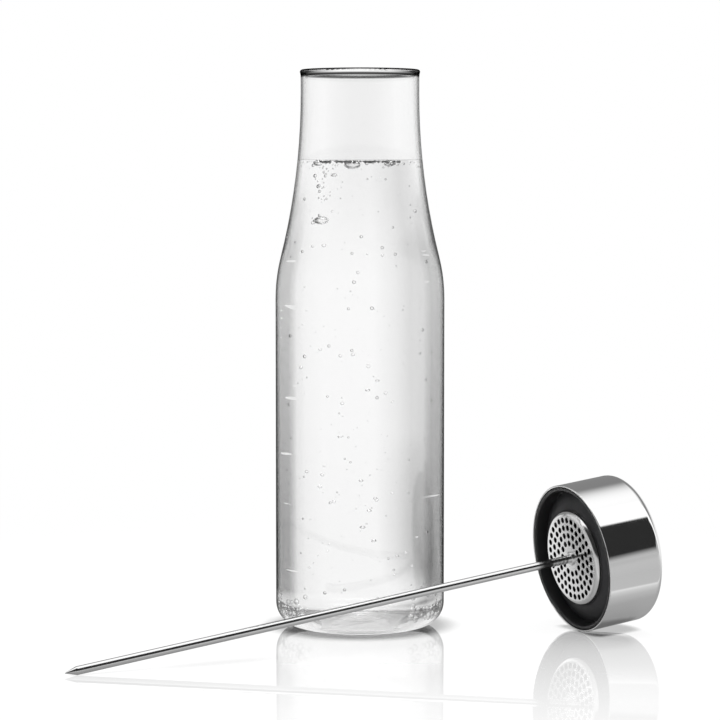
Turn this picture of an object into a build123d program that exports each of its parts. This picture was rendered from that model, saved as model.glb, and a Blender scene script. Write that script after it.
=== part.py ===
from build123d import *
import os
from math import asin, atan2, cos, degrees, hypot, sin

# Fruit infuser pitcher: a blown glass carafe that stands, and its pouring lid with strainer and
# fruit skewer, taken off and laid down beside it. Millimetres, +Z up, origin at the centre of
# the carafe's base. The lid's pieces are drawn upright, mouth plane at z = 0, top towards +Z.

# Carafe
body_radius = 41.5
glass_height = 273.5
glass_wall = 2.0
base_thickness = 4.0
base_corner_radius = 12.0
punt_radius = 24.0
punt_rise = 1.2
shoulder_start = 161.6
shoulder_radius = 83.0
neck_start = 262.0
neck_radius = 29.0
lip_height = 3.8
lip_proud = 0.4

# Clearances: fixed pieces, moving pieces, pin in its knuckle, pin in its ears
fit_gap = 0.1
run_gap = 0.3
knuckle_gap = 0.06
ear_gap = 0.02

# Lid sleeve, drawn from steel sheet
sleeve_overhang = 7.2
sleeve_length = 31.0
sleeve_sheet = 0.8
sleeve_corner = 4.0
sleeve_top_width = 5.75

# Lid mouldings: liner with its groove round the mouth, clamp with its chute, insert with its recess
moulding_wall = 1.8
liner_lip_inset = 0.2
liner_taper = 2.7
groove_depth = 6.0
groove_floor = 0.4
collar_height = 5.0
liner_height = 14.0
ring_drop = 0.2
ring_width = 3.4
chute_margin = 0.5
pour_radius = 15.5
deck_drop = 4.4
deck_margin = 2.5
funnel_rise = 2.0
spigot_drop = 2.0

# Silicone: cone seal under the carafe's rim, gasket behind the strainer, ring under the flap
seal_thickness = 1.8
seal_crown = 0.5
gasket_thickness = 1.2
flap_seal_width = 3.0
flap_seal_lap = 0.7

# Strainer, a pressed dish with 6 n holes on ring n
strainer_neck_gap = 3.4
strainer_sheet = 0.6
strainer_rise = 3.1
strainer_edge = 2.5
strainer_flange = 2.0
carrier_wall = 1.5
hole_radius = 1.42
hole_pitch = 3.8
first_ring = 2
last_ring = 5

# Skewer and its nut
rod_radius = 2.0
tip_length = 5.5
tip_floor_gap = 0.8
tip_flat = 0.2
rod_collar_radius = 3.4
rod_collar_height = 1.0
nut_flats = 7.0
nut_height = 3.2
rod_end = 1.0

# Pouring flap
flap_gap = 0.8
cover_sheet = 0.8
cover_above_pin = 0.2
cover_edge = 0.4
carrier_thickness = 1.6
plug_depth = 1.2
pin_radius = 1.0
pin_inset = 4.0
knuckle_radius = 1.9
knuckle_length = 10.0
hinge_edge = 3.2
ear_thickness = 2.6
pin_short = 0.2

# Where the lid lies: beside the carafe, skewer pointing along -X in front of the glass
skewer_to_glass = 23.6
lid_ahead = 82.2

# Shared radii and heights of the lid
sleeve_radius = neck_radius + sleeve_overhang
sleeve_inside = sleeve_radius - sleeve_sheet
core_radius = sleeve_inside - fit_gap
opening_radius = sleeve_radius - sleeve_top_width
groove_radius = core_radius - liner_taper
seal_outer = groove_radius - groove_floor
strainer_radius = neck_radius - glass_wall - strainer_neck_gap
flange_radius = strainer_radius + strainer_flange
shelf_z = strainer_rise + seal_thickness + carrier_wall
gasket_z = shelf_z + strainer_sheet
foot_z = gasket_z + gasket_thickness
chute_radius = hole_pitch * last_ring + hole_radius + chute_margin
core_top = sleeve_length - sleeve_sheet - fit_gap
ring_top = sleeve_length - ring_drop
recess_radius = opening_radius - fit_gap - ring_width
pin_z = ring_top - knuckle_radius
pin_x = pin_inset - recess_radius
deck_z = pin_z - deck_drop
deck_under = deck_z - moulding_wall
chute_outer = chute_radius + moulding_wall
deck_radius = recess_radius - deck_margin
ear_inner = knuckle_length / 2 + run_gap
flap_radius = recess_radius - flap_gap
cover_top = pin_z + cover_above_pin
cover_bottom = cover_top - cover_sheet
carrier_bottom = cover_bottom - carrier_thickness

# The rim meets the cone seal at seat_depth, which sets how far the skewer may reach down
lip_width = glass_wall + lip_proud
rim_radius = neck_radius - glass_wall + lip_width / 2
seal_slope = (groove_depth - strainer_rise) / (seal_outer - strainer_radius)
seat_depth = strainer_rise + (rim_radius - strainer_radius) * seal_slope - seal_crown
skewer_reach = glass_height - seat_depth - base_thickness - punt_rise - tip_floor_gap


def section(*corners):
    """A closed profile, x as radius and y as height; a third number rounds that corner."""
    face = make_face(Polyline(*[corner[:2] for corner in corners], close=True).edges())
    for corner in corners:
        if len(corner) == 3:
            point = face.vertices().sort_by_distance((corner[0], corner[1], 0))[0]
            face = fillet(point, corner[2])
    return face


def turned(face):
    """A profile turned about the Z axis."""
    return revolve(Plane.XZ * face, Axis.Z)


def ring(inner, outer, bottom, top):
    """A plain square-edged ring."""
    return turned(section((inner, bottom), (outer, bottom), (outer, top), (inner, top)))


def along_y(radius, length):
    """A round bar along Y through the flap's hinge axis."""
    return Pos(pin_x, 0, pin_z) * Rot(90, 0, 0) * Cylinder(radius, length)


def carafe_side(inset):
    """The wall's line from shoulder to neck: a convex and a concave arc, tangent to each other."""
    drop = body_radius - neck_radius
    rise = neck_start - shoulder_start
    sweep_radius = (drop**2 + rise**2) / (2 * drop) - shoulder_radius
    lean = atan2(rise, shoulder_radius + sweep_radius - drop)
    centre = body_radius - shoulder_radius
    reach = shoulder_radius - inset
    bend = (centre + reach * cos(lean), shoulder_start + reach * sin(lean))
    lower = TangentArc((body_radius - inset, shoulder_start), bend, tangent=(0, 1))
    upper = TangentArc(bend, (neck_radius - inset, neck_start), tangent=lower % 1)
    return [lower, upper]


def make_carafe_glass():
    """Blown glass: flat foot ring round a punt, straight body, long neck, fire-polished lip."""
    inner_corner = base_corner_radius - glass_wall
    inside = body_radius - glass_wall
    mouth = neck_radius - glass_wall
    lip_outer = neck_radius + lip_proud
    lip_round = lip_width / 2
    lip_z = glass_height - lip_round
    lip_start = glass_height - lip_height
    foot = body_radius - base_corner_radius
    outside_line = [
        TangentArc((0, punt_rise), (punt_radius, 0), tangent=(1, 0)),
        Line((punt_radius, 0), (foot, 0)),
        TangentArc((foot, 0), (body_radius, base_corner_radius), tangent=(1, 0)),
        Line((body_radius, base_corner_radius), (body_radius, shoulder_start)),
        *carafe_side(0),
        Line((neck_radius, neck_start), (neck_radius, lip_start)),
        TangentArc((neck_radius, lip_start), (lip_outer, lip_z), tangent=(0, 1)),
    ]
    lip_line = ThreePointArc(
        (lip_outer, lip_z), (lip_outer - lip_round, glass_height), (mouth, lip_z)
    )
    floor_z = base_thickness
    floor_edge = inside - inner_corner
    inside_line = [
        TangentArc((0, floor_z + punt_rise), (punt_radius, floor_z), tangent=(1, 0)),
        Line((punt_radius, floor_z), (floor_edge, floor_z)),
        TangentArc((floor_edge, floor_z), (inside, floor_z + inner_corner), tangent=(1, 0)),
        Line((inside, floor_z + inner_corner), (inside, shoulder_start)),
        *carafe_side(glass_wall),
        Line((mouth, neck_start), (mouth, lip_z)),
    ]
    axis_line = Line((0, punt_rise), (0, floor_z + punt_rise))
    return turned(make_face([*outside_line, lip_line, *inside_line, axis_line]))


def make_lid_sleeve():
    """Polished steel sleeve: thin rolled mouth edge, rounded top edge, round opening in the top."""
    top = sleeve_length
    return turned(
        section(
            (sleeve_inside, 0, sleeve_sheet * 0.48),
            (sleeve_radius, 0, sleeve_sheet * 0.48),
            (sleeve_radius, top, sleeve_corner),
            (opening_radius, top),
            (opening_radius, top - sleeve_sheet),
            (sleeve_inside, top - sleeve_sheet, sleeve_corner - sleeve_sheet),
        )
    )


def make_lid_liner():
    """Lower black moulding: tapered wall behind the mouth, groove, cone that backs the seal."""
    cone_z = groove_depth + seal_thickness + 2 * fit_gap
    cone_outer = seal_outer + fit_gap
    hole = strainer_radius + fit_gap
    pocket = flange_radius + fit_gap
    cone_inner_z = strainer_rise + seal_thickness + fit_gap
    wall_inner = core_radius - moulding_wall
    collar_inner = pocket
    collar_outer = pocket + moulding_wall
    collar_top = shelf_z + collar_height
    lip_inner = core_radius - moulding_wall
    lip_round = moulding_wall * 0.45
    return turned(
        section(
            (core_radius, liner_lip_inset, lip_round),
            (core_radius, liner_height),
            (wall_inner, liner_height),
            (wall_inner, cone_z + moulding_wall),
            (collar_outer, shelf_z + moulding_wall),
            (collar_outer, collar_top),
            (collar_inner, collar_top),
            (collar_inner, shelf_z),
            (hole, shelf_z),
            (hole, cone_inner_z),
            (cone_outer, cone_z),
            (cone_outer, groove_depth),
            (groove_radius, groove_depth),
            (lip_inner, liner_lip_inset, lip_round),
        )
    )


def make_cone_seal():
    """Silicone cone that the glass rim seats on, crowned, from the groove to the strainer."""
    hole = strainer_radius + fit_gap
    crest = ((seal_outer + hole) / 2, (groove_depth + strainer_rise) / 2 - seal_crown)
    crown = ThreePointArc((seal_outer, groove_depth), crest, (hole, strainer_rise))
    back = Polyline(
        (hole, strainer_rise),
        (hole, strainer_rise + seal_thickness),
        (seal_outer, groove_depth + seal_thickness),
        (seal_outer, groove_depth),
    )
    return turned(make_face([crown, *back.edges()]))


def make_strainer():
    """Pressed steel dish, flange held behind the liner, with rings of drilled holes."""
    dish_inside = strainer_radius - strainer_sheet
    dish = turned(
        section(
            (0, 0),
            (strainer_radius, 0, strainer_edge),
            (strainer_radius, shelf_z),
            (flange_radius, shelf_z),
            (flange_radius, gasket_z),
            (dish_inside, gasket_z),
            (dish_inside, strainer_sheet, strainer_edge - strainer_sheet),
            (0, strainer_sheet),
        )
    )
    drill_length = 4 * strainer_sheet
    holes = [Pos(0, 0, 0) * Cylinder(rod_radius + fit_gap, drill_length)]
    for number in range(first_ring, last_ring + 1):
        places = PolarLocations(number * hole_pitch, 6 * number)
        holes += [place * Cylinder(hole_radius, drill_length) for place in places]
    return dish - holes


def make_strainer_gasket():
    """Silicone gasket between the strainer's flange and the clamp's foot."""
    return ring(strainer_radius, flange_radius, gasket_z, foot_z)


def make_skewer():
    """Round steel skewer: cone point, long rod, collar under the strainer, end for the nut."""
    cone_z = tip_length - skewer_reach
    top = strainer_sheet + nut_height + rod_end
    return turned(
        section(
            (0, -skewer_reach),
            (tip_flat, -skewer_reach),
            (rod_radius, cone_z),
            (rod_radius, -rod_collar_height),
            (rod_collar_radius, -rod_collar_height, rod_collar_height * 0.45),
            (rod_collar_radius, 0),
            (rod_radius, 0),
            (rod_radius, top, rod_end * 0.4),
            (0, top),
        )
    )


def make_skewer_nut():
    """Hexagon nut that clamps the skewer to the strainer from behind."""
    outline = RegularPolygon(nut_flats / 2, 6, major_radius=False)
    hexagon = Pos(0, 0, strainer_sheet) * extrude(outline, nut_height)
    crown = Pos(0, 0, strainer_sheet + nut_height / 2)
    rounding = crown * Cone(nut_flats / 2 + nut_height, nut_flats / 2 - 0.1, nut_height)
    return hexagon & rounding - crown * Cylinder(rod_radius + fit_gap, 2 * nut_height)


def make_strainer_clamp():
    """Black moulding that holds the strainer: foot ring on the gasket, chute up to the deck."""
    top = deck_under - fit_gap
    return turned(
        section(
            (chute_radius, foot_z),
            (flange_radius, foot_z),
            (flange_radius, foot_z + moulding_wall, moulding_wall / 4),
            (chute_outer, foot_z + moulding_wall, moulding_wall / 2),
            (chute_outer, top),
            (chute_radius, top),
        )
    )


def make_pour_insert():
    """Upper black moulding: outer wall, deck with spigot ring below, flap recess, hinge ears."""
    wall_inner = core_radius - moulding_wall
    recess_outer = recess_radius + moulding_wall
    spigot_inner = chute_outer + fit_gap
    spigot_outer = spigot_inner + moulding_wall
    funnel_z = deck_z + funnel_rise
    body = turned(
        section(
            (core_radius, liner_height),
            (core_radius, core_top, sleeve_corner - sleeve_sheet - fit_gap),
            (opening_radius - fit_gap, core_top),
            (opening_radius - fit_gap, ring_top),
            (recess_radius, ring_top, moulding_wall / 3),
            (recess_radius, funnel_z),
            (deck_radius, deck_z),
            (pour_radius, deck_z, moulding_wall / 3),
            (pour_radius, deck_under),
            (spigot_inner, deck_under),
            (spigot_inner, deck_under - spigot_drop),
            (spigot_outer, deck_under - spigot_drop),
            (spigot_outer, deck_under),
            (recess_outer, funnel_z - moulding_wall / 2),
            (recess_outer, core_top - moulding_wall),
            (wall_inner, core_top - moulding_wall),
            (wall_inner, liner_height),
        )
    )
    post_height = deck_drop + moulding_wall / 2
    post = Pos(pin_x, 0, pin_z - post_height / 2) * Box(2 * knuckle_radius, ear_thickness, post_height)
    ear = post + along_y(knuckle_radius, ear_thickness)
    ear_middle = ear_inner + ear_thickness / 2
    pin_hole = along_y(pin_radius + ear_gap, 2 * ear_inner + 4 * ear_thickness)
    return body + Pos(0, ear_middle, 0) * ear + Pos(0, -ear_middle, 0) * ear - pin_hole


def flap_disc(bottom, top, edge):
    """A round plate of the flap, cut straight along the hinge."""
    plate = turned(section((0, bottom), (flap_radius, bottom), (flap_radius, top, edge), (0, top)))
    behind = pin_x + hinge_edge
    half = flap_radius + behind
    middle = Pos((flap_radius + behind) / 2, 0, (bottom + top) / 2)
    return plate & middle * Box(flap_radius - behind, 2 * half + 4 * flap_radius, 4 * (top - bottom))


def make_flap_carrier():
    """Black moulding under the flap's cover: plate, plug that holds the ring seal, knuckle."""
    plate = flap_disc(carrier_bottom, cover_bottom, carrier_thickness / 4)
    plug = Pos(0, 0, carrier_bottom - plug_depth / 2) * Cylinder(pour_radius + flap_seal_lap, plug_depth)
    tongue_z = (carrier_bottom + cover_bottom) / 2
    tongue = Pos(pin_x + hinge_edge / 2, 0, tongue_z) * Box(hinge_edge, knuckle_length, carrier_thickness)
    hole = along_y(pin_radius + knuckle_gap, 2 * knuckle_length)
    return plate + plug + tongue + along_y(knuckle_radius, knuckle_length) - hole


def make_flap_cover():
    """Polished steel disc on top of the flap."""
    return flap_disc(cover_bottom, cover_top, cover_edge)


def make_flap_seal():
    """Silicone ring round the flap's plug, closing on the deck."""
    inner = pour_radius + flap_seal_lap + fit_gap
    return ring(inner, inner + flap_seal_width, deck_z + run_gap, carrier_bottom)


def make_hinge_pin():
    """Steel pin through both ears and the flap's knuckle."""
    return along_y(pin_radius, 2 * (ear_inner + ear_thickness - pin_short))


# The lid lies on the sleeve's mouth edge and on the rod's end, both touching the table
edge_round = sleeve_sheet * 0.48
upper_arm = sleeve_radius - edge_round - rod_radius
lower_arm = skewer_reach - tip_length + edge_round
lean = atan2(upper_arm, lower_arm) + asin(edge_round / hypot(upper_arm, lower_arm))
axis_height = (skewer_reach - tip_length) * sin(lean) + rod_radius * cos(lean)
lid_beside = -(body_radius + skewer_to_glass)
lid_place = Location((lid_ahead, lid_beside, axis_height), (0, 90 - degrees(lean), 0))

pieces = {
    "carafe_glass": make_carafe_glass(),
    "lid_sleeve": lid_place * make_lid_sleeve(),
    "lid_liner": lid_place * make_lid_liner(),
    "cone_seal": lid_place * make_cone_seal(),
    "strainer": lid_place * make_strainer(),
    "strainer_gasket": lid_place * make_strainer_gasket(),
    "skewer": lid_place * make_skewer(),
    "skewer_nut": lid_place * make_skewer_nut(),
    "strainer_clamp": lid_place * make_strainer_clamp(),
    "pour_insert": lid_place * make_pour_insert(),
    "flap_carrier": lid_place * make_flap_carrier(),
    "flap_cover": lid_place * make_flap_cover(),
    "flap_seal": lid_place * make_flap_seal(),
    "hinge_pin": lid_place * make_hinge_pin(),
}

os.makedirs("parts", exist_ok=True)
for name, piece in pieces.items():
    export_step(piece, f"parts/{name}.step")
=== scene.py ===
import bpy
import numpy as np
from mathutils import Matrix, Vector
from mathutils.bvhtree import BVHTree


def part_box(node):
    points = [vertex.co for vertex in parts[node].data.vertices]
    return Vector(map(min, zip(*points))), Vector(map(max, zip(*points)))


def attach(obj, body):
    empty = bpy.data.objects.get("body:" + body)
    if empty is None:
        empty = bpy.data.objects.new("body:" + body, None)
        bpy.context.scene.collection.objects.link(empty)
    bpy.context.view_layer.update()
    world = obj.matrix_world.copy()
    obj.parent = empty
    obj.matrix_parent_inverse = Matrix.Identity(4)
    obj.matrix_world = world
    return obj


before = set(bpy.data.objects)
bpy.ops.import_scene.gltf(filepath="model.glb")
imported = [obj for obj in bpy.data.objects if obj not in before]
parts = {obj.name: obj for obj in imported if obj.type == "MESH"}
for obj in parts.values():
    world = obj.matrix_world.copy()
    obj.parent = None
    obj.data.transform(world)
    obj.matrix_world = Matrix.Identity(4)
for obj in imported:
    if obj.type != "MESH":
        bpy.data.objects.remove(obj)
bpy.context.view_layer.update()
scene = bpy.context.scene

# Camera: an eye about level with the water line, standing off in front of the skewer and to its left,
# looking slightly down through a long lens. Right and away are the picture's own directions.
sight_turn = np.radians(26.46)
sight_dip = np.radians(4.0)
eye_back = 1.3249
eye_height = 0.2239
lens_mm = 134.9
sensor_mm = 36.0

right = np.array([np.cos(sight_turn), -np.sin(sight_turn), 0.0])
away = np.array([np.sin(sight_turn), np.cos(sight_turn), 0.0])
up = np.array([0.0, 0.0, 1.0])

camera = bpy.data.objects.new("camera", bpy.data.cameras.new("camera"))
camera.data.lens = lens_mm
camera.data.sensor_width = sensor_mm
camera.location = eye_height * up - eye_back * away
camera.rotation_euler = (np.pi / 2 - sight_dip, 0.0, -sight_turn)
scene.collection.objects.link(camera)
scene.camera = camera
scene.view_settings.view_transform = "Standard"


# Carafe: soda-lime glass blown in a mould, clear, with a fire-polished lip and a thicker base.
# Its edges carry painted shade in dark bands, wide and dense where water fills it, thin in the empty
# neck. Painted highlights lie in the bands as short bright dashes, and a painted dark line runs round
# the lip.
glass_ior = 1.5
edge_blend = 0.5
wall_least = 0.5
wall_most = 0.9
dense_height = 0.04
faint_height = 0.17
dense_share = 1.3
faint_share = 0.7
neck_height = 0.229
# shares of light that the painted shade keeps, by how far a face turns away
full_edge = (
    (0.1, 0.98), (0.24, 0.93), (0.34, 0.83), (0.40, 0.64), (0.47, 0.5),
    (0.6, 0.48), (0.66, 0.5), (0.76, 0.32), (0.83, 0.08),
)
neck_edge = (
    (0.0, 0.94), (0.13, 0.98), (0.2, 1.0), (0.55, 0.96),
    (0.64, 0.85), (0.69, 0.75), (0.74, 0.45), (0.85, 0.33),
)
dash_width_mm = 30.0
dash_height_mm = 2.6
dash_least = 0.73
dash_most = 0.76
dash_edge = ((0.64, 0.85), (0.74, 0.0))
base_low = 0.011
base_high = 0.021
base_edge = ((0.66, 1.0), (0.75, 0.9), (0.82, 0.4), (0.9, 0.1))
lip_low = 0.2690
lip_high = 0.2705
lip_edge = ((0.02, 1.0), (0.06, 0.5), (0.11, 0.06), (1.0, 0.01))
lip_end = ((0.6, 1.0), (0.8, 0.12))
line_low = 0.2698
line_high = 0.2718
lip_line = ((0.0, 1.0), (0.35, 0.3), (0.5, 0.12), (0.65, 0.3), (1.0, 1.0))
mirrored_share = 0.86
foot_height = 0.006
foot_shade = 0.8
lamp_passed = 0.93


def colour(hex_code):
    """An sRGB hex colour as the linear RGBA that shader sockets hold."""
    share = np.array([int(hex_code[i:i + 2], 16) for i in (1, 3, 5)]) / 255
    linear = np.where(share <= 0.04045, share / 12.92, ((share + 0.055) / 1.055) ** 2.4)
    return (*linear.tolist(), 1.0)


def node(tree, kind, sockets=None, stops=(), **settings):
    """Adds one shader node and gives its outputs. Settings are its properties, sockets its inputs as
    values or links, and stops the pairs of a ramp, each a place from 0 to 1 and a share of white."""
    made = tree.nodes.new("ShaderNode" + kind)
    for name, value in settings.items():
        setattr(made, name, value)
    for name, value in (sockets or {}).items():
        if isinstance(value, bpy.types.NodeSocket):
            tree.links.new(value, made.inputs[name])
        else:
            made.inputs[name].default_value = value
    if stops:
        points = made.color_ramp.elements
        while len(points) < len(stops):
            points.new(1.0)
        for point, (where, share) in zip(points, stops):
            point.position = where
            point.color = (share, share, share, 1.0)
    return made.outputs


def empty_material(name):
    """A material whose node tree holds nothing yet, and that tree."""
    made = bpy.data.materials.new(name)
    made.use_nodes = True
    made.node_tree.nodes.clear()
    return made, made.node_tree


def clear_body(tree, ior):
    """A smooth, colourless body that bends light by an index."""
    sockets = {"Base Color": colour("#ffffff"), "Roughness": 0.0, "IOR": ior, "Transmission Weight": 1.0}
    return node(tree, "BsdfPrincipled", sockets)[0]


def dimmed(tree, shader, share):
    """A shader darkened by painted shade: it keeps a share of its light, and the rest is painted black."""
    painted_black = node(tree, "BsdfDiffuse", {"Color": colour("#000000")})[0]
    return node(tree, "MixShader", {0: share, 1: painted_black, 2: shader})[0]


blown_glass, tree = empty_material("blown_soda_lime_glass")
rays = node(tree, "LightPath")
place = node(tree, "TexCoord")
height = node(tree, "SeparateXYZ", {0: place["Object"]})["Z"]
facing = node(tree, "LayerWeight", {"Blend": edge_blend})["Facing"]

# the filled body's painted shade in its edge bands, darker towards the base, and painted highlights as
# bright dashes in them
band_power = node(
    tree, "MapRange", {"Value": height, 1: dense_height, 2: faint_height, 3: dense_share, 4: faint_share}
)[0]
full = node(tree, "ValToRGB", {0: facing}, full_edge)[0]
full = node(tree, "Math", {0: full, 1: band_power}, operation="POWER")[0]
dash_scale = (1000 / dash_width_mm, 1000 / dash_width_mm, 1000 / dash_height_mm)
dashes = node(tree, "VectorMath", {0: place["Object"], 1: dash_scale}, operation="MULTIPLY")[0]
dashes = node(tree, "TexNoise", {"Vector": dashes, "Scale": 1.0, "Detail": 0.0})[0]
dashes = node(tree, "MapRange", {"Value": dashes, 1: dash_least, 2: dash_most})[0]
in_band = node(tree, "ValToRGB", {0: facing}, dash_edge)[0]
dashes = node(tree, "Math", {0: dashes, 1: in_band}, operation="MULTIPLY")[0]
full = node(tree, "Math", {0: full, 1: dashes}, operation="MAXIMUM")[0]

# painted shade at the edges of the neck and the base, on the outer wall alone
is_neck = node(
    tree, "MapRange", {"Value": height, 1: faint_height, 2: neck_height}, interpolation_type="SMOOTHSTEP"
)[0]
neck = node(tree, "ValToRGB", {0: facing}, neck_edge)[0]
share = node(tree, "Mix", {0: is_neck, 2: full, 3: neck})[0]
above_base = node(tree, "MapRange", {"Value": height, 1: base_low, 2: base_high})[0]
base = node(tree, "ValToRGB", {0: facing}, base_edge)[0]
share = node(tree, "Mix", {0: above_base, 2: base, 3: share})[0]
from_axis = node(tree, "VectorMath", {0: place["Object"], 1: (1, 1, 0)}, operation="MULTIPLY")[0]
from_axis = node(tree, "VectorMath", {0: from_axis}, operation="NORMALIZE")[0]
outward = node(tree, "VectorMath", {0: place["Normal"], 1: from_axis}, operation="DOT_PRODUCT")["Value"]
is_wall = node(tree, "MapRange", {"Value": outward, 1: wall_least, 2: wall_most})[0]
share = node(tree, "Mix", {0: is_wall, 2: 1.0, 3: share})[0]

# the lip, with painted shade where it turns over, and a painted dark line round it
slant = node(tree, "SeparateXYZ", {0: place["Normal"]})["Z"]
slant = node(tree, "Math", {0: slant}, operation="ABSOLUTE")[0]
slant = node(tree, "Math", {0: slant, 1: facing}, operation="MULTIPLY")[0]
lip = node(tree, "ValToRGB", {0: slant}, lip_edge)[0]
end = node(tree, "ValToRGB", {0: facing}, lip_end)[0]
lip = node(tree, "Math", {0: lip, 1: end}, operation="MULTIPLY")[0]
is_lip = node(tree, "MapRange", {"Value": height, 1: lip_low, 2: lip_high})[0]
share = node(tree, "Mix", {0: is_lip, 2: share, 3: lip})[0]
line = node(tree, "MapRange", {"Value": height, 1: line_low, 2: line_high})[0]
line = node(tree, "ValToRGB", {0: line}, lip_line)[0]
share = node(tree, "Math", {0: share, 1: line}, operation="MULTIPLY")[0]

# painted a little darker where a mirror shows it, and clear to the lamp apart from its foot
is_mirrored = node(
    tree, "Math", {0: rays["Is Glossy Ray"], 1: rays["Is Transmission Ray"]}, operation="SUBTRACT"
)[0]
mirrored = node(tree, "Mix", {0: is_mirrored, 2: 1.0, 3: mirrored_share})[0]
share = node(tree, "Math", {0: share, 1: mirrored}, operation="MULTIPLY")[0]
glass = dimmed(tree, clear_body(tree, glass_ior), share)
passed = node(tree, "MapRange", {"Value": height, 1: 0.0, 2: foot_height, 3: foot_shade, 4: lamp_passed})[0]
lamp_path = node(tree, "BsdfTransparent", {"Color": passed})[0]
glass = node(tree, "MixShader", {0: rays["Is Shadow Ray"], 1: glass, 2: lamp_path})[0]
node(tree, "OutputMaterial", {"Surface": glass})
parts["carafe_glass"].material_slots[0].material = blown_glass


# Water: fizzy water that fills the carafe up to its neck, a separate body with a meniscus.
# It reaches a little into the glass, so that no air shows between the two.
water_ior = 1.333
water_level = 0.2291
water_sinks_in = 0.00012
meniscus_rise = 0.0003
meniscus_width = 0.0008
brim_edge = 0.00015
fan_height = 0.05
fan_lowest = -89.9
fan_rays = 70
wall_rows = 58
surface_rings = 40
water_sides = 192

glass_mesh = parts["carafe_glass"].data
glass_tree = BVHTree.FromPolygons(
    [vertex.co for vertex in glass_mesh.vertices], [face.vertices for face in glass_mesh.polygons]
)


def wall_points(starts, headings):
    """Where rays from the carafe's axis meet its inner wall, sunk a little into the glass."""
    hits = [glass_tree.ray_cast(Vector(s), Vector(h)) for s, h in zip(starts, headings)]
    return np.array([hit[0] - hit[1] * water_sinks_in for hit in hits])


def turned_grid(radius, height, sides):
    """A profile carried round Z: x = r cos t, y = r sin t, z = h. Both its ends lie on the axis.
    Gives the points, the four-sided faces and the three-sided faces that close the ends."""
    angle = np.linspace(0.0, 2 * np.pi, sides, endpoint=False)
    ring_radius, ring_height = radius[1:-1, None], height[1:-1, None]
    rings = np.stack(
        [ring_radius * np.cos(angle), ring_radius * np.sin(angle), ring_height + 0 * angle], axis=-1
    )
    ends = np.array([[0.0, 0.0, height[0]], [0.0, 0.0, height[-1]]])
    points = np.concatenate([rings.reshape(-1, 3), ends])
    here = np.arange(sides)
    after = (here + 1) % sides
    row = np.arange(len(rings) - 1)[:, None] * sides
    quads = np.stack([row + here, row + after, row + sides + after, row + sides + here], axis=-1)
    last = (len(rings) - 1) * sides
    first_end = np.stack([here * 0 + last + sides, after, here], axis=-1)
    last_end = np.stack([here * 0 + last + sides + 1, last + here, last + after], axis=-1)
    return points, quads.reshape(-1, 4), np.concatenate([first_end, last_end])


def filling(name, points, faces, material):
    """A smooth piece of the carafe's contents, which moves with the carafe."""
    mesh = bpy.data.meshes.new(name)
    mesh.from_pydata(points.tolist(), [], faces)
    mesh.shade_smooth()
    mesh.materials.append(material)
    made = bpy.data.objects.new(name, mesh)
    made.visible_shadow = False
    scene.collection.objects.link(made)
    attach(made, "carafe")


# the inner wall: a fan of rays over the floor of the carafe, then level rays up to the brim
tilt = np.radians(np.linspace(fan_lowest, 0.0, fan_rays))
fan = wall_points([(0, 0, fan_height)] * len(tilt), np.stack([np.cos(tilt), 0 * tilt, np.sin(tilt)], -1))
brim_height = water_level + meniscus_rise
steps = np.append(
    np.linspace(fan_height, brim_height - brim_edge, wall_rows)[1:],
    (brim_height - brim_edge / 3, brim_height),
)
climb = wall_points(np.stack([0 * steps, 0 * steps, steps], -1), [(1, 0, 0)] * len(steps))
wall = np.concatenate([fan, climb])
wall_height = wall[:, 2]
wall_radius = np.hypot(wall[:, 0], wall[:, 1])

# the surface: z = level + rise exp(-d / width), with d the distance from the brim
brim = wall_radius[-1]
inward = brim * (1 - np.linspace(0.0, 1.0, surface_rings)[1:] ** 2)
surface = water_level + meniscus_rise * np.exp(-(brim - inward) / meniscus_width)
still_water, tree = empty_material("still_water")
node(tree, "OutputMaterial", {"Surface": clear_body(tree, water_ior)})
points, quads, ends = turned_grid(
    np.concatenate([[0.0], wall_radius[1:], inward]), np.concatenate([wall_height, surface]), water_sides
)
filling("water", points, quads.tolist() + ends.tolist(), still_water)


# Bubbles: air in the fizzy water. Many cling to the inside of the glass, some rise freely, one string
# climbs at the left, a row and a band of froth hang under the surface, and foam gathers in the
# corner of the base at either side. Painted shade darkens each bubble towards its edge, most in the froth.
bubble_seed = 11
bubble_gap = 0.00006
size_power = 2.5
small_grid = (6, 8)
foam_grid = (8, 12)
large_grid = (16, 24)

wall_count = 170
wall_sizes = (0.00022, 0.00095)
wall_spread = 1.1
wall_heights = (0.018, 0.224)
rising_count = 70
rising_reach = 0.024
rising_depths = (-0.02, 0.004)
rising_heights = (0.02, 0.222)
row_count = 70
row_sizes = (0.0002, 0.0009)
row_spread = 1.3
row_gap = 0.0004
row_depth = 0.004
row_power = 3
string_count = 26
string_sizes = (0.0003, 0.001)
string_turn = -0.62
string_jitter = 0.06
string_heights = (0.210, 0.226)
foam_sizes = (0.0009, 0.0017)
foam_heights = (0.0084, 0.0115, 0.0146, 0.0177)
foam_turns = np.arange(0.72, 1.5, 0.088)
foam_kept = (0.95, 0.85, 0.6, 0.3)
foam_turn_jitter = 0.02
foam_height_jitter = 0.0007
foam_thin = 0.6
froth_count = 210
froth_sizes = (0.0003, 0.0008)
froth_spread = 0.72
froth_gap = 0.0001
large_thin = 0.15
large_tall = 0.55
# painted shade round each bubble's edge: the share of light kept, by how far its face turns away
bubble_ring = ((0.4, 1.0), (0.7, 0.85), (0.88, 0.45), (1.0, 0.8))
large_ring = ((0.6, 1.0), (0.82, 0.94), (0.93, 0.65), (1.0, 0.9))
foam_ring = ((0.8, 1.0), (0.93, 0.85), (1.0, 1.0))
froth_ring = ((0.0, 0.5), (0.3, 0.3), (0.7, 0.15), (1.0, 0.4))


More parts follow.
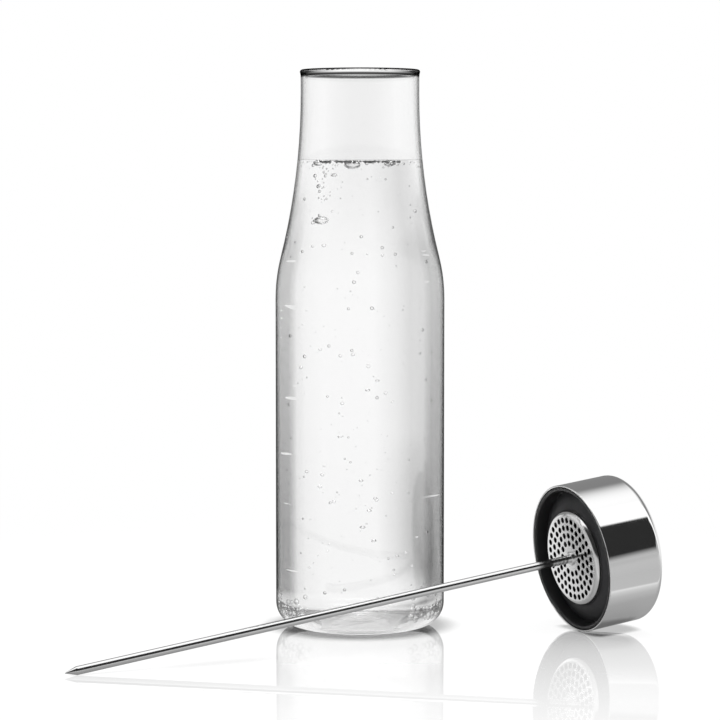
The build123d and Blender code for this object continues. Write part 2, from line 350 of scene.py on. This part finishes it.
def air_in_water(name, ring, thin=0.0):
    """The wall of an air bubble: it bends light the other way, and painted shade darkens it towards its
    edge.
    A thin one lets a share of the light through unbent."""
    made, tree = empty_material(name)
    facing = node(tree, "LayerWeight", {"Blend": edge_blend})["Facing"]
    share = node(tree, "ValToRGB", {0: facing}, ring)[0]
    shader = dimmed(tree, clear_body(tree, 1 / water_ior), share)
    unbent = node(tree, "BsdfTransparent")[0]
    shader = node(tree, "MixShader", {0: thin, 1: shader, 2: unbent})[0]
    node(tree, "OutputMaterial", {"Surface": shader})
    return made


def bubbles(name, centres, radii, grid, material, tall=1.0):
    """Spheres, each a half circle carried round Z, r sin v out and -r cos v up, moved to its centre.
    Large ones are less tall than they are wide."""
    rows, sides = grid
    v = np.linspace(0.0, np.pi, rows)
    one, quads, ends = turned_grid(np.sin(v), -tall * np.cos(v), sides)
    points = centres[:, None] + radii[:, None, None] * one
    shift = np.arange(len(centres))[:, None, None] * len(one)
    faces = (quads + shift).reshape(-1, 4).tolist() + (ends + shift).reshape(-1, 3).tolist()
    filling(name, points.reshape(-1, 3), faces, material)


def in_water(across, depth, height):
    """Points at a distance right, a distance away and a height, all from the middle of the base."""
    return across[:, None] * right + depth[:, None] * away + height[:, None] * up


def wall_reach(height, radii):
    """How far from the axis a bubble's centre lies: the wall's radius, less a gap and its own radius."""
    return np.interp(height, wall_height, wall_radius) - water_sinks_in - bubble_gap - radii


def on_wall(turn, height, radii):
    """Centres of bubbles that touch the inner wall: reach sin(turn) right and -reach cos(turn) away,
    so that a turn of 0 is the side towards the viewer."""
    reach = wall_reach(height, radii)
    return in_water(reach * np.sin(turn), -reach * np.cos(turn), height)


def drawn_sizes(rng, count, sizes):
    """Radii between two sizes, with many small ones and few large ones."""
    least, most = sizes
    return least + (most - least) * rng.random(count) ** size_power


rng = np.random.default_rng(bubble_seed)
wall_radii = drawn_sizes(rng, wall_count, wall_sizes)
wall_centres = on_wall(
    rng.uniform(-wall_spread, wall_spread, wall_count), rng.uniform(*wall_heights, wall_count), wall_radii
)
rising_radii = drawn_sizes(rng, rising_count, wall_sizes)
rising_centres = in_water(
    rng.uniform(-rising_reach, rising_reach, rising_count),
    rng.uniform(*rising_depths, rising_count),
    rng.uniform(*rising_heights, rising_count),
)
row_radii = drawn_sizes(rng, row_count, row_sizes)
row_centres = on_wall(
    rng.uniform(-row_spread, row_spread, row_count),
    water_level - row_radii - row_gap - row_depth * rng.random(row_count) ** row_power,
    row_radii,
)
string_radii = drawn_sizes(rng, string_count, string_sizes)
string_centres = on_wall(
    string_turn + rng.normal(0.0, string_jitter, string_count),
    rng.uniform(*string_heights, string_count),
    string_radii,
)

# foam: rows of bubbles on both sides, from which some are left out, most of them in the upper rows
foam_side, foam_turn, foam_row = np.stack(
    np.meshgrid((-1, 1), foam_turns, np.arange(len(foam_heights))), -1
).reshape(-1, 3).T
foam_row = foam_row.astype(int)
is_kept = rng.random(len(foam_row)) < np.array(foam_kept)[foam_row]
foam_side, foam_turn, foam_row = foam_side[is_kept], foam_turn[is_kept], foam_row[is_kept]
foam_radii = rng.uniform(*foam_sizes, len(foam_row))
foam_centres = on_wall(
    foam_side * (foam_turn + rng.uniform(-foam_turn_jitter, foam_turn_jitter, len(foam_row))),
    np.array(foam_heights)[foam_row] + rng.uniform(-foam_height_jitter, foam_height_jitter, len(foam_row)),
    foam_radii,
)
froth_radii = drawn_sizes(rng, froth_count, froth_sizes)
froth_centres = on_wall(
    rng.uniform(-froth_spread, froth_spread, froth_count) + np.pi * rng.integers(0, 2, froth_count),
    water_level - froth_radii - froth_gap,
    froth_radii,
)

# large bubbles on the near wall: across and up in millimetres, and how wide
large_bubbles = np.array([
    (-17.6, 200.0, 7.4),
    (-3.4, 227.0, 8.0),
    (13.3, 227.6, 5.6),
    (-19.0, 227.7, 5.2),
    (-12.0, 222.0, 3.2),
    (1.2, 53.5, 2.8),
    (6.4, 47.0, 2.6),
    (4.3, 61.5, 2.4),
    (7.1, 67.5, 2.0),
    (0.5, 76.0, 2.2),
    (3.6, 119.5, 2.4),
    (8.1, 124.0, 2.0),
    (17.4, 39.0, 2.0),
    (-9.5, 97.0, 2.0),
]) / 1000
large_across, large_height, large_width = large_bubbles.T
large_radii = large_width / 2
large_turn = np.arcsin(large_across / wall_reach(large_height, large_radii))
large_centres = on_wall(large_turn, large_height, large_radii)

small_centres = np.concatenate([wall_centres, rising_centres, row_centres, string_centres])
small_radii = np.concatenate([wall_radii, rising_radii, row_radii, string_radii])
air = air_in_water("air_bubble", bubble_ring)
froth_air = air_in_water("froth_bubble", froth_ring)
foam_air = air_in_water("foam_bubble", foam_ring, foam_thin)
large_air = air_in_water("large_bubble", large_ring, large_thin)
bubbles("froth", froth_centres, froth_radii, small_grid, froth_air)
bubbles("foam", foam_centres, foam_radii, foam_grid, foam_air)
bubbles("small_bubbles", small_centres, small_radii, small_grid, air)
bubbles("large_bubbles", large_centres, large_radii, large_grid, large_air, large_tall)


# Sleeve and flap cover: drawn stainless steel, buffed to a mirror in turns round the lid's axis.
# The buffing leaves fine rings, drawn wider here than they are so that they show, and a soft smear
# in the reflections.
steel_colour = "#e5e5e5"
steel_relief = 0.02
relief_depth = 0.0001
marks_low = 0.25
marks_high = 0.75
smear_mm = 12.0
smear_share = 0.5
ring_mm = 0.6
ring_detail = 3.0
buffed_roughness = 0.03
buffed_spread = 0.06

skewer_low, skewer_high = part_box("skewer")
rod_width = skewer_high[1] - skewer_low[1]
lean = np.arctan2(skewer_high[2] - skewer_low[2] - rod_width, skewer_high[0] - skewer_low[0])
lid_axis = (np.cos(lean), 0.0, np.sin(lean))


def speckle(tree, size_mm):
    """Noise of one size in all directions."""
    place = node(tree, "TexCoord")["Object"]
    return node(tree, "TexNoise", {"Vector": place, "Scale": 1000 / size_mm})[0]


def steel(name, roughness, spread, pattern):
    """Bright stainless steel whose roughness and relief follow a pattern, given by a function."""
    made, tree = empty_material(name)
    marks = pattern(tree)
    mixed = node(tree, "Mix", {0: smear_share, 2: marks, 3: speckle(tree, smear_mm)})[0]
    rough = node(
        tree, "MapRange", {"Value": mixed, 1: marks_low, 2: marks_high, 3: roughness, 4: roughness + spread}
    )[0]
    relief = node(tree, "Bump", {"Height": marks, "Strength": steel_relief, "Distance": relief_depth})[0]
    sockets = {"Base Color": colour(steel_colour), "Metallic": 1.0, "Roughness": rough, "Normal": relief}
    shader = node(tree, "BsdfPrincipled", sockets)[0]
    node(tree, "OutputMaterial", {"Surface": shader})
    return made


def buffed_rings(tree):
    """Noise that changes only along the lid's axis, so that it lies in rings round it."""
    place = node(tree, "TexCoord")["Object"]
    length = node(tree, "VectorMath", {0: place, 1: lid_axis}, operation="DOT_PRODUCT")["Value"]
    sockets = {"W": length, "Scale": 1000 / ring_mm, "Detail": ring_detail}
    return node(tree, "TexNoise", sockets, noise_dimensions="1D")[0]


buffed_steel = steel("buffed_stainless_steel", buffed_roughness, buffed_spread, buffed_rings)
for name in ("lid_sleeve", "flap_cover"):
    parts[name].material_slots[0].material = buffed_steel


# Strainer and skewer nut: the dish is pressed and punched from stainless sheet, the nut cut from bar.
# Both are tumbled bright, which leaves a fine even grain, drawn coarser here so that it shows.
tumbled_mm = 0.9
tumbled_roughness = 0.12
tumbled_spread = 0.1


def tumbled_grain(tree):
    """The even grain of tumbling."""
    return speckle(tree, tumbled_mm)


pressed_steel = steel("pressed_stainless_sheet", tumbled_roughness, tumbled_spread, tumbled_grain)
for name in ("strainer", "skewer_nut"):
    parts[name].material_slots[0].material = pressed_steel


# Skewer and hinge pin: round stainless rod, drawn through a die, so its fine lines run lengthwise,
# drawn wider here so that they show. The skewer is held by the nut behind the strainer, the pin by
# the ears of the insert.
line_mm = 0.5
line_stretch = 0.02
drawn_roughness = 0.1
drawn_spread = 0.06


def drawn_lines(tree):
    """Noise stretched along the rod."""
    place = node(tree, "TexCoord")["Object"]
    turned = node(tree, "Mapping", {"Vector": place, "Rotation": (0.0, lean, 0.0)})[0]
    pulled = node(tree, "VectorMath", {0: turned, 1: (line_stretch, 1.0, 1.0)}, operation="MULTIPLY")[0]
    return node(tree, "TexNoise", {"Vector": pulled, "Scale": 1000 / line_mm})[0]


drawn_steel = steel("drawn_stainless_rod", drawn_roughness, drawn_spread, drawn_lines)
for name in ("skewer", "hinge_pin"):
    parts[name].material_slots[0].material = drawn_steel


# Black mouldings: liner, clamp, insert and flap carrier, injection moulded in polypropylene with a
# satin face, whose fine spark-eroded grain breaks up the gloss. It is drawn coarser so that it shows.
plastic_colour = "#161617"
plastic_roughness = 0.38
plastic_grain_mm = 0.4
plastic_relief = 0.25
grain_low = 0.3
grain_high = 0.7
gloss_spread = 0.05
tint_low = 0.75
tint_high = 1.25


def black_moulding(name, shade, roughness, grain_mm, depth):
    """A black moulded material: one shade with a fine grain in its tint and its relief, and a gloss
    that changes in wide patches."""
    made, tree = empty_material(name)
    grain = speckle(tree, grain_mm)
    patches = speckle(tree, smear_mm)
    least, most = roughness - gloss_spread, roughness + gloss_spread
    rough = node(tree, "MapRange", {"Value": patches, 1: grain_low, 2: grain_high, 3: least, 4: most})[0]
    tint = node(
        tree, "MapRange", {"Value": grain, 1: grain_low, 2: grain_high, 3: tint_low, 4: tint_high}
    )[0]
    tint = node(tree, "VectorMath", {0: colour(shade)[:3], "Scale": tint}, operation="SCALE")[0]
    relief = node(tree, "Bump", {"Height": grain, "Strength": depth, "Distance": relief_depth})[0]
    shader = node(tree, "BsdfPrincipled", {"Base Color": tint, "Roughness": rough, "Normal": relief})[0]
    node(tree, "OutputMaterial", {"Surface": shader})
    return made


satin_plastic = black_moulding(
    "satin_black_polypropylene", plastic_colour, plastic_roughness, plastic_grain_mm, plastic_relief
)
for name in ("lid_liner", "strainer_clamp", "pour_insert", "flap_carrier"):
    parts[name].material_slots[0].material = satin_plastic


# Seals: cone seal, strainer gasket and flap ring, moulded in black silicone with a dull, dusty face.
# Each is held by the mouldings beside it.
silicone_colour = "#232325"
silicone_roughness = 0.55
silicone_grain_mm = 0.7
silicone_relief = 0.15

black_silicone = black_moulding(
    "black_silicone", silicone_colour, silicone_roughness, silicone_grain_mm, silicone_relief
)
for name in ("cone_seal", "strainer_gasket", "flap_seal"):
    parts[name].material_slots[0].material = black_silicone


# Floor: a glossy white acrylic sheet. It mirrors what stands on it, fainter towards the viewer, has
# painted shade where a piece comes close, and reads as pure white elsewhere. Steel shows it in painted
# grey with a painted pale line, and glass shows it with painted shade, a little darker at the left.
floor_reach = 3.0
floor_drop = 0.0001
floor_colour = "#fafafa"
floor_ior = 1.45
back_start = 0.1
back_full = 0.5
fill_near = 0.12
fill_far = 0.4
fill_least = 0.8
clear_near = 0.0
clear_far = 0.04
left_side = (
    (0.1, 0.84), (0.23, 0.85), (0.34, 0.94), (0.4, 0.98),
    (0.54, 0.8), (0.69, 0.71), (0.81, 0.86), (0.93, 0.99),
)
shade_near = 0.2
shade_far = 1.0
shade_power = 2.6
shade_start = 0.08
shade_full = 0.2
shade_first = 0.05
contact_reach = 0.014
contact_low = 0.46
contact_high = 0.93
contact_samples = 8
contact_start = -0.09
contact_full = -0.05
contact_in_steel = 0.5
lid_start = 0.05
lid_full = 0.07
lid_contact_reach = 0.006
lid_contact_low = 0.56
steel_width = 0.1
floor_in_steel = (
    (0.0, 0.33), (0.15, 0.42), (0.33, 0.44), (0.43, 0.53),
    (0.5, 0.68), (0.54, 0.85), (0.57, 0.55), (1.0, 0.52),
)
mirror_start = 0.03
mirror_end = 0.26
mirror_most = 1.35
mirror_least = 0.3

corners = np.array([[-1, -1, 0], [1, -1, 0], [1, 1, 0], [-1, 1, 0]]) * floor_reach
floor_mesh = bpy.data.meshes.new("floor")
floor_mesh.from_pydata((corners - floor_drop * up).tolist(), [], [[0, 1, 2, 3]])
floor = bpy.data.objects.new("floor", floor_mesh)
scene.collection.objects.link(floor)
white_sheet, tree = empty_material("white_acrylic_sheet")
rays = node(tree, "LightPath")
is_through = rays["Is Transmission Ray"]
place = node(tree, "TexCoord")["Object"]
distance = node(tree, "VectorMath", {0: place}, operation="LENGTH")["Value"]
across = node(tree, "VectorMath", {0: place, 1: tuple(right)}, operation="DOT_PRODUCT")["Value"]
ahead = node(tree, "VectorMath", {0: place, 1: tuple(-away)}, operation="DOT_PRODUCT")["Value"]
compass = node(tree, "VectorMath", {0: place}, operation="NORMALIZE")[0]
sideways = node(tree, "VectorMath", {0: compass, 1: tuple(right)}, operation="DOT_PRODUCT")["Value"]
is_back = node(tree, "VectorMath", {0: compass, 1: tuple(away)}, operation="DOT_PRODUCT")["Value"]
is_back = node(tree, "MapRange", {"Value": is_back, 1: back_start, 2: back_full})[0]

# its own white: partly matt close by and glowing further off
seen = node(tree, "Math", {0: rays["Is Camera Ray"], 1: rays["Is Glossy Ray"]}, operation="MAXIMUM")[0]
fill = node(tree, "MapRange", {"Value": distance, 1: fill_near, 2: fill_far, 3: fill_least, 4: 1.0})[0]
fill = node(tree, "Math", {0: fill, 1: seen}, operation="MULTIPLY")[0]
through = node(tree, "MapRange", {"Value": distance, 1: clear_near, 2: clear_far})[0]
through = node(tree, "Math", {0: through, 1: is_through}, operation="MULTIPLY")[0]
fill = node(tree, "Math", {0: fill, 1: through}, operation="MAXIMUM")[0]

# painted shade through glass: darker towards the left behind it
leftward = node(tree, "MapRange", {"Value": sideways, 1: -1.0, 2: 0.0})[0]
shade = node(tree, "ValToRGB", {0: leftward}, left_side)[0]
power = node(tree, "MapRange", {"Value": distance, 1: shade_near, 2: shade_far, 3: shade_power, 4: 1.0})[0]
begun = node(
    tree, "MapRange", {"Value": distance, 1: shade_start, 2: shade_full, 3: shade_first, 4: 1.0}
)[0]
power = node(tree, "Math", {0: power, 1: begun}, operation="MULTIPLY")[0]
shade = node(tree, "Math", {0: shade, 1: power}, operation="POWER")[0]
is_behind = node(tree, "Math", {0: is_through, 1: is_back}, operation="MULTIPLY")[0]
shade = node(tree, "Mix", {0: is_behind, 2: 1.0, 3: shade})[0]
matt = node(tree, "BsdfDiffuse", {"Color": colour(floor_colour)})[0]
glow = node(tree, "Emission", {"Color": colour("#ffffff"), "Strength": shade})[0]
lit = node(tree, "MixShader", {0: fill, 1: matt, 2: glow})[0]

# painted contact shade where a piece comes close, shorter and darker under the lid, none under the skewer's
# point
to_lid = {"Value": across, 1: lid_start, 2: lid_full}
reach = node(tree, "MapRange", {**to_lid, 3: contact_reach, 4: lid_contact_reach})[0]
darkest = node(tree, "MapRange", {**to_lid, 3: contact_low, 4: lid_contact_low})[0]
open_share = node(tree, "AmbientOcclusion", {"Distance": reach}, samples=contact_samples)["AO"]
contact = node(tree, "MapRange", {"Value": open_share, 1: darkest, 2: contact_high})[0]
is_rough = node(
    tree, "Math", {0: rays["Is Glossy Ray"], 1: rays["Is Singular Ray"]}, operation="SUBTRACT"
)[0]
shown = node(tree, "Math", {0: is_rough, 1: contact_in_steel}, operation="MULTIPLY")[0]
shown = node(tree, "Math", {0: shown, 1: rays["Is Camera Ray"]}, operation="MAXIMUM")[0]
beside = node(tree, "MapRange", {"Value": across, 1: contact_start, 2: contact_full})[0]
shown = node(tree, "Math", {0: shown, 1: beside}, operation="MULTIPLY")[0]
contact = node(tree, "Mix", {0: shown, 2: 1.0, 3: contact})[0]

# in steel: painted grey below the lid and the skewer, with a painted pale line beside the sleeve
axis_y = (skewer_low[1] + skewer_high[1]) / 2
aside = node(tree, "SeparateXYZ", {0: place})["Y"]
aside = node(tree, "Math", {0: aside, 1: axis_y}, operation="SUBTRACT")[0]
aside = node(tree, "Math", {0: aside}, operation="ABSOLUTE")[0]
aside = node(tree, "Math", {0: aside, 1: steel_width}, operation="DIVIDE")[0]
grey = node(tree, "ValToRGB", {0: aside}, floor_in_steel)[0]
in_front = node(tree, "Math", {0: 1.0, 1: is_back}, operation="SUBTRACT")[0]
in_steel = node(tree, "Math", {0: is_rough, 1: in_front}, operation="MULTIPLY")[0]
grey = node(tree, "Mix", {0: in_steel, 2: 1.0, 3: grey})[0]
kept = node(tree, "Math", {0: contact, 1: grey}, operation="MULTIPLY")[0]
lit = dimmed(tree, lit, kept)

# its mirror, which glass doesn't show
gloss = node(tree, "BsdfGlossy", {"Color": colour("#ffffff"), "Roughness": 0.0})[0]
mirror = node(
    tree, "MapRange", {"Value": ahead, 1: mirror_start, 2: mirror_end, 3: mirror_most, 4: mirror_least}
)[0]
share = node(tree, "Fresnel", {"IOR": floor_ior})[0]
share = node(tree, "Math", {0: share, 1: mirror}, operation="MULTIPLY")[0]
share = node(tree, "Mix", {0: is_through, 2: share, 3: 0.0})[0]
mixed = node(tree, "MixShader", {0: share, 1: lit, 2: gloss})[0]
node(tree, "OutputMaterial", {"Surface": mixed})
floor.data.materials.append(white_sheet)


# Light: one wide soft box overhead, and a room that looks different to steel and to glass. Steel shows
# a dark front under a bright box, grey sides and a grey back with a white card at its right. Glass
# shows white all round, a little darker at the left, and grey overhead.
box_right = 0.2
box_near = 0.125
box_height = 1.0
box_width = 1.5
box_depth = 0.85
box_power = 14.0
room_white = 1.0
room_bright = 1.35
room_grey = 0.27
room_side = 0.55
room_dark = 0.03
room_front = 0.9
low_end = 0.2
high_start = 0.45
overhead_start = 0.68
overhead_full = 0.97
room_back_start = 0.05
room_back_full = 0.2
dark_slope = 0.68
dark_start = 0.38
dark_full = 0.5
box_slope = 0.4
box_edge = 0.02
card_start = 0.15
card_full = 0.5
clear_overhead = 0.8
below_level = -0.05
level_power = 0.5

lamp = bpy.data.objects.new("soft_box", bpy.data.lights.new("soft_box", "AREA"))
lamp.data.shape = "RECTANGLE"
lamp.data.size = box_width
lamp.data.size_y = box_depth
lamp.data.energy = box_power
lamp.location = box_right * right - box_near * away + box_height * up
lamp.rotation_euler = (0.0, 0.0, -sight_turn)
lamp.visible_glossy = False
scene.collection.objects.link(lamp)

room = bpy.data.worlds.new("room")
scene.world = room
room.use_nodes = True
tree = room.node_tree
tree.nodes.clear()
rays = node(tree, "LightPath")
heading = node(tree, "TexCoord")["Generated"]
heading = node(tree, "VectorRotate", {"Vector": heading, "Angle": sight_turn}, rotation_type="Z_AXIS")[0]
heading = node(tree, "SeparateXYZ", {0: heading})
compass = node(tree, "CombineXYZ", {0: heading["X"], 1: heading["Y"]})[0]
compass = node(tree, "VectorMath", {0: compass}, operation="NORMALIZE")[0]
compass = node(tree, "SeparateXYZ", {0: compass})
is_low = node(tree, "MapRange", {"Value": heading["Z"], 1: low_end, 2: high_start, 3: 1.0, 4: 0.0})[0]
is_back = node(tree, "MapRange", {"Value": compass["Y"], 1: room_back_start, 2: room_back_full})[0]
overhead = node(
    tree, "MapRange",
    {"Value": heading["Z"], 1: overhead_start, 2: overhead_full, 3: room_grey, 4: room_bright},
    interpolation_type="SMOOTHSTEP",
)[0]

# in steel: dark in front between a slanting edge and the box, grey behind, white low at the right
slope = node(tree, "Math", {0: compass["Y"], 1: dark_slope}, operation="MULTIPLY")[0]
lift = node(tree, "Math", {0: heading["Z"], 1: slope}, operation="SUBTRACT")[0]
front = node(tree, "MapRange", {"Value": lift, 1: dark_start, 2: dark_full, 3: room_side, 4: room_dark})[0]
slope = node(tree, "Math", {0: heading["Z"], 1: box_slope}, operation="MULTIPLY")[0]
under_box = node(tree, "Math", {0: heading["Y"], 1: slope}, operation="ADD")[0]
under_box = node(tree, "MapRange", {"Value": under_box, 1: -box_edge, 2: box_edge})[0]
front = node(tree, "Mix", {0: under_box, 2: front, 3: room_bright})[0]
card = node(tree, "MapRange", {"Value": compass["X"], 1: card_start, 2: card_full})[0]
card = node(tree, "Math", {0: card, 1: is_low}, operation="MULTIPLY")[0]
card = node(tree, "Mix", {0: card, 2: overhead, 3: room_white})[0]
in_steel = node(tree, "Mix", {0: is_back, 2: front, 3: card})[0]

# in the floor's mirror and on glass: white behind, nearly white in front
backdrop = node(tree, "Mix", {0: is_low, 2: overhead, 3: room_white})[0]
sharp = node(tree, "Mix", {0: is_back, 2: room_front, 3: backdrop})[0]
is_rough = node(tree, "Math", {0: 1.0, 1: rays["Is Singular Ray"]}, operation="SUBTRACT")[0]
is_steel = node(tree, "Math", {0: rays["Is Glossy Ray"], 1: is_rough}, operation="MULTIPLY")[0]
level = node(tree, "Mix", {0: is_steel, 2: sharp, 3: in_steel})[0]

# through glass: white all round, a little darker at the left behind it, grey overhead
leftward = node(tree, "MapRange", {"Value": heading["X"], 1: -1.0, 2: 0.0})[0]
sides = node(tree, "ValToRGB", {0: leftward}, left_side)[0]
power = node(tree, "MapRange", {"Value": heading["Z"], 1: below_level, 2: 0.0, 3: 1.0, 4: level_power})[0]
sides = node(tree, "Math", {0: sides, 1: power}, operation="POWER")[0]
is_behind = node(tree, "MapRange", {"Value": heading["Y"], 1: back_start, 2: back_full})[0]
sides = node(tree, "Mix", {0: is_behind, 2: room_white, 3: sides})[0]
clear = node(tree, "Mix", {0: is_low, 2: clear_overhead, 3: sides})[0]
level = node(tree, "Mix", {0: rays["Is Transmission Ray"], 2: level, 3: clear})[0]
level = node(tree, "Mix", {0: rays["Is Camera Ray"], 2: level, 3: room_white})[0]
shader = node(tree, "Background", {"Color": colour("#ffffff"), "Strength": level})[0]
node(tree, "OutputWorld", {"Surface": shader})
